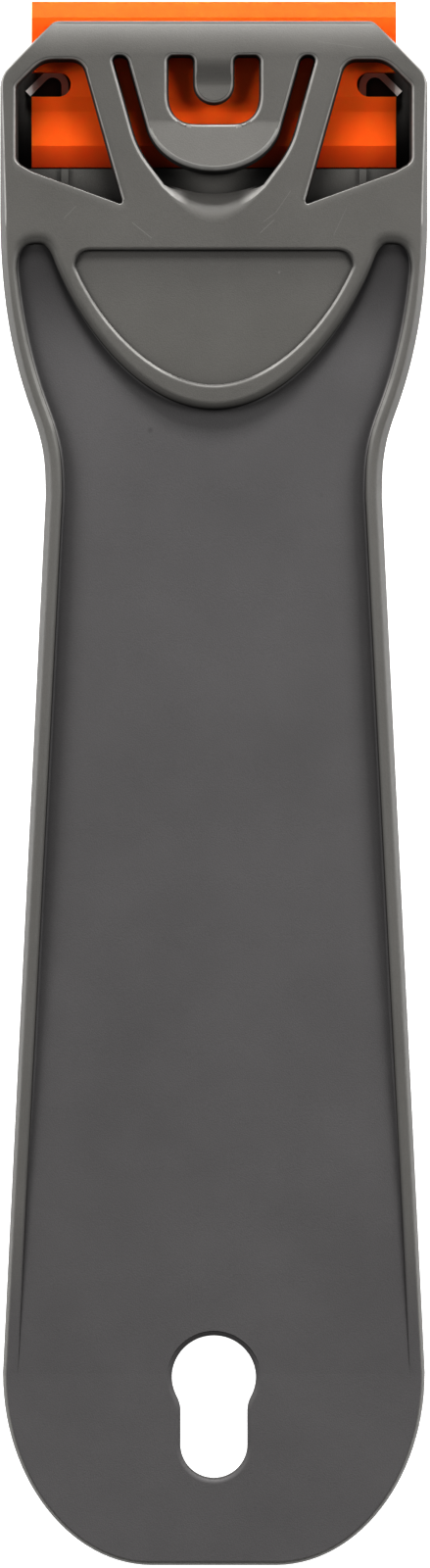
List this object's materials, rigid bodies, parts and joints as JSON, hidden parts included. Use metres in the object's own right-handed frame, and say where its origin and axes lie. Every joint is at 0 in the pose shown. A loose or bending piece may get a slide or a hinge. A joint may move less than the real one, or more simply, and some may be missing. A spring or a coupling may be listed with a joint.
{
  "type": "blade scraper",
  "caption": "Flat hand scraper: moulded plastic handle whose slotted head grips a double-edged plastic blade under a spring tongue and a detent tab, with a keyhole tail for hanging.",
  "frame": {"origin": "under the middle of the whole scraper with its blade in place, on the surface that its back lies on", "axes": "+X across the head, +Y from the tail towards the working edge of the blade, +Z from the back to the front"},
  "size_m": [0.0448, 0.1634, 0.0088],
  "materials": {
    "grey_plastic": "dark warm grey moulded plastic, satin, with a fine grain",
    "orange_plastic": "bright orange moulded plastic, satin"
  },
  "bodies": {
    "holder": {"holder": "grey_plastic"},
    "tongue": {"release_tongue": "grey_plastic"},
    "tab": {"detent_tab": "grey_plastic"},
    "blade": {"blade": "orange_plastic"}
  },
  "joints": [
    {"name": "tongue_flex", "type": "hinge", "parent": "holder", "child": "tongue", "pos_m": [0, 0.0756, 0.0071], "axis": [-1, 0, 0], "range_deg": [0, 10], "stiffness_Nm_per_rad": 0.3},
    {"name": "tab_flex", "type": "hinge", "parent": "holder", "child": "tab", "pos_m": [0, 0.0756, 0.0071], "axis": [-1, 0, 0], "range_deg": [0, 8], "stiffness_Nm_per_rad": 0.05},
    {"name": "blade_slide", "type": "slide", "parent": "holder", "child": "blade", "axis": [0, 1, 0], "range_m": [0, 0.018]}
  ]
}
